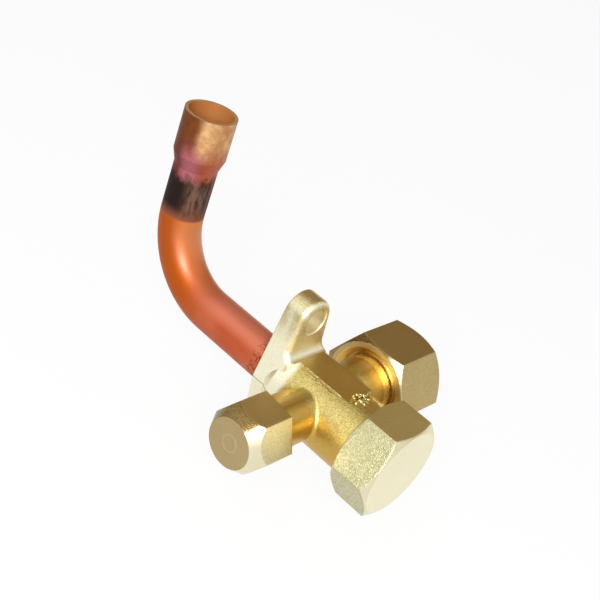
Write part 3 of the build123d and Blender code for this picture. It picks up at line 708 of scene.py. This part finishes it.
def skin(shape, loops):
    """Joins loops of points into one rod, closed at both ends."""
    for near, far in zip(loops, loops[1:]):
        for side in range(len(near)):
            after = (side + 1) % len(near)
            shape.faces.new((near[side], near[after], far[after], far[side]))
    shape.faces.new(loops[0][::-1])
    shape.faces.new(loops[-1])


bright = Finish("torn_brass", Metallic=1.0)
glint = bright.cloud(0.5 * MM, 2.0, 0.5)
bright.feed(
    Base_Color=glint.rise(0.35, 0.65).tint(paint(158, 132, 68), paint(226, 210, 146)),
    Roughness=0.24 + 0.2 * glint,
    Normal=bright.bumps(glint, 0.05 * MM),
)
print("torn brass nodes:", len(bright.start.tree.nodes))

# %% Flash ridges
BARREL_R = 10.6 * MM
FLAT_Z = 9.75 * MM      # the flats lie this far above and below the stem
EDGE_Y = -math.sqrt(BARREL_R ** 2 - FLAT_Z ** 2)


def bead(start_x, end_x, edge_y, radius, rings=60, sides=8):
    """A thin rod of metal along the flat's edge, a little thicker and thinner as it goes."""
    shape = bmesh.new()
    shaker = random.Random(7)
    edge_z = math.sqrt(BARREL_R ** 2 - edge_y ** 2) - 0.05 * MM
    spokes = [Vector((0, math.cos(turn), math.sin(turn))) for turn in turns_of(sides)]
    loops = []
    for ring in range(rings + 1):
        share = ring / rings
        taper = min(1, 6 * share, 6 * (1 - share)) * shaker.uniform(0.8, 1.2)
        middle = Vector((start_x + (end_x - start_x) * share, edge_y, min(edge_z, FLAT_Z)))
        rim = [spoke * radius * max(taper, 0.05) for spoke in spokes]
        loops.append([shape.verts.new(middle + spoke) for spoke in rim])
    skin(shape, loops)
    return shape


upper = piece_from("flash_ridge_upper", bead(9.8 * MM, 26.0 * MM, EDGE_Y, 0.32 * MM), bright)
piece_from("flash_ridge_lower", bead(11.0 * MM, 24.5 * MM, EDGE_Y - 0.9 * MM, 0.28 * MM), bright)
print("faces of one ridge:", len(upper.data.polygons))

# %% Burrs
CLUMP_X, CLUMP_Y = 28.2, -0.4      # the middle of the clump, in millimetres
REACH_X, REACH_Y = 2.1, 2.6        # how far it spreads each way


def burr_clump(count):
    """Small shaken lumps, half sunk in the skin and spread evenly over an oval patch."""
    shape = bmesh.new()
    shaker = random.Random(23)
    for _ in range(count):
        reach, way = math.sqrt(shaker.random()), shaker.uniform(0, 2 * math.pi)
        place_x = (CLUMP_X + REACH_X * reach * math.cos(way)) * MM
        place_y = (CLUMP_Y + REACH_Y * reach * math.sin(way)) * MM
        skin_z = math.sqrt(BARREL_R ** 2 - place_y ** 2) - 0.1 * MM
        size = shaker.uniform(0.24, 0.62) * MM
        stretch = Matrix.Diagonal([shaker.uniform(0.7, 1.5) for _ in range(3)] + [1])
        turn = Matrix.Rotation(shaker.uniform(0, 2 * math.pi), 4, "Z")
        home = Matrix.Translation((place_x, place_y, skin_z))
        made = bmesh.ops.create_icosphere(
            shape, subdivisions=2, radius=size, matrix=home @ turn @ stretch
        )
        for vert in made["verts"]:
            vert.co += Vector([shaker.uniform(-1, 1) for _ in range(3)]) * size * 0.18
    return shape


burrs = piece_from("burr_clump", burr_clump(40), bright)
print("burr faces:", len(burrs.data.polygons))

# %% [markdown]
# ## The core's spring
# A hose presses the core's pin inwards, and the spring round the pin closes up. A rigid coil
# can't do that, so the spring is wound again here as a mesh. A coil is a circle that climbs, so a
# point on it needs only a turn and a share of the length, and a small ring of points round each
# makes the wire.

# %% Wind the spring
COIL_TURNS = 4
WIRE_R = 0.15 * MM
spring_low, spring_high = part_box("core_spring")
coil_r = (spring_high.x - spring_low.x) / 2 - WIRE_R
coil_length = spring_high.y - spring_low.y - 2 * WIRE_R


def wind(steps=160, sides=10):
    """A coil of wire round the core's axis, as long as the solid spring."""
    shape = bmesh.new()
    loops = []
    for step in range(steps + 1):
        turn = 2 * math.pi * COIL_TURNS * step / steps
        out = Vector((math.cos(turn), 0, math.sin(turn)))
        along = spring_high.y - WIRE_R - coil_length * step / steps
        middle = Vector((PORT_X, along, 0)) + out * coil_r
        rim = [out * math.cos(spoke) + Vector((0, math.sin(spoke), 0)) for spoke in turns_of(sides)]
        loops.append([shape.verts.new(middle + spoke * WIRE_R) for spoke in rim])
    skin(shape, loops)
    bmesh.ops.recalc_face_normals(shape, faces=shape.faces)
    return shape


spring = piece_from("core_spring_coil", wind(), steel)
print("spring", round(coil_length / MM, 2), "mm long between its end turns' centres")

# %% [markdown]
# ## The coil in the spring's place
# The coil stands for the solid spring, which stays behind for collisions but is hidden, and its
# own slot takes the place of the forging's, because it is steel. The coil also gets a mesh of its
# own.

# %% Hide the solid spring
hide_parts("core_spring")
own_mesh(spring)

# %% [markdown]
# ## Floor and world
# The valve stands over a white sheet that runs far out on every side, and the world behind it is
# white too. A sheet bright enough to look white would flood the metal with light, so the white
# is only for the rays that look: those of the camera, and those that a reflection or a clear
# piece sends on. The rays that carry light meet a plain pale sheet. A tenth of that sheet is
# left in what the looking rays see, so the valve keeps a faint shadow.

# %% Floor
LOOKING_RAYS = ("Is Camera Ray", "Is Glossy Ray", "Is Transmission Ray")
FLOOR_SIZE = 6.0
low = cad_box[0].z


def sheet(name, centre, facing, width, height):
    """A flat sheet, turned to face a direction. It is part of the stage, not of the valve."""
    mesh = bpy.data.meshes.new(name)
    signs = ((-1, -1), (1, -1), (1, 1), (-1, 1))
    corners = [(across * width / 2, up * height / 2, 0) for across, up in signs]
    mesh.from_pydata(corners, [], [(0, 1, 2, 3)])
    piece = bpy.data.objects.new(name, mesh)
    scene.collection.objects.link(piece)
    piece.rotation_mode = "QUATERNION"
    piece.rotation_quaternion = Vector(facing).to_track_quat("Z", "Y")
    piece.location = centre
    return piece


def seen_white(start):
    """1 for the rays that look and 0 for the rays that carry light."""
    camera_ray, glossy, through = (start.node("ShaderNodeLightPath", ray) for ray in LOOKING_RAYS)
    return camera_ray.math("MAXIMUM", glossy).math("MAXIMUM", through)


floor = sheet("floor", (0, 0, low - 0.05 * MM), (0, 0, 1), FLOOR_SIZE, FLOOR_SIZE)
paper = Finish("floor_paper", Roughness=0.9, Specular_IOR_Level=0.0, Base_Color=(0.9, 0.9, 0.9, 1))
glow = paper.start.node("ShaderNodeEmission", 0, {}, Color=(1, 1, 1, 1), Strength=1.0)
lit = Wire(paper.start.tree, paper.shader.outputs[0])
mostly_white = seen_white(paper.start) * 0.9
surface = paper.start.node("ShaderNodeMixShader", 0, {}, _0=mostly_white, _1=lit, _2=glow)
paper.start.tree.links.new(surface.socket, paper.start.tree.nodes["Material Output"].inputs[0])
paper.coat_piece(floor)
print("floor under z =", round(low, 4))

# %% World
WORLD_LIGHT = 0.45     # strength of the world as a light
WORLD_SEEN = 0.51      # added to it for the rays that look

world = bpy.data.worlds.new("studio")
scene.world = world
world.use_nodes = True
dome = world.node_tree.nodes["Background"]
dome.inputs["Color"].default_value = (1, 1, 1, 1)
strength = WORLD_LIGHT + WORLD_SEEN * seen_white(Wire(world.node_tree))
world.node_tree.links.new(strength.socket, dome.inputs["Strength"])
print("world seen at", WORLD_LIGHT + WORLD_SEEN, "and lighting at", WORLD_LIGHT)

# %% [markdown]
# ## Lamps and cards
# Metal shows its surroundings, so the brass gets its pale faces from the white sheet. Its brown
# faces need something dark to reflect: a dim brown card stands behind the valve, another above
# it and a small one at its left. A paler card at the right lifts the faces turned that way. Only
# reflections see the cards, so they cast no shadow and the camera looks past them. One large
# lamp makes the soft shadow, and a weak one fills in from above.


# %% Lamps and cards
def lamp(name, place, power, size):
    """A square soft light that points at the valve."""
    light = bpy.data.objects.new(name, bpy.data.lights.new(name, "AREA"))
    scene.collection.objects.link(light)
    light.data.energy = power
    light.data.size = size
    light.location = place
    light.rotation_mode = "QUATERNION"
    light.rotation_quaternion = Vector(place).to_track_quat("Z", "Y")
    return light


def card(name, centre, width, height, colour):
    """A glowing card that only reflections see. It faces the valve."""
    piece = sheet(name, centre, [-v for v in centre], width, height)
    finish = Finish(name)
    shine = finish.start.node("ShaderNodeEmission", 0, {}, Color=colour, Strength=1.0)
    output = finish.start.tree.nodes["Material Output"]
    finish.start.tree.links.new(shine.socket, output.inputs[0])
    finish.coat_piece(piece)
    piece.visible_camera = False
    piece.visible_diffuse = False
    piece.visible_shadow = False
    piece.visible_transmission = False
    return piece


lamp("key", (0.32, -0.52, 0.40), power=6.0, size=0.34)
lamp("fill", (-0.28, -0.22, 0.72), power=0.3, size=0.50)
card("back_card", (-0.30, 0.46, 0.30), 1.0, 0.56, (0.27, 0.165, 0.045, 1.0))
card("top_card", (-0.20, 0.25, 0.70), 0.9, 0.7, (0.34, 0.26, 0.13, 1.0))
card("right_card", (0.42, 0.46, 0.12), 0.34, 0.34, (0.62, 0.54, 0.42, 1.0))
card("left_card", (-0.26, -0.13, 0.02), 0.22, 0.10, (0.24, 0.17, 0.08, 1.0))
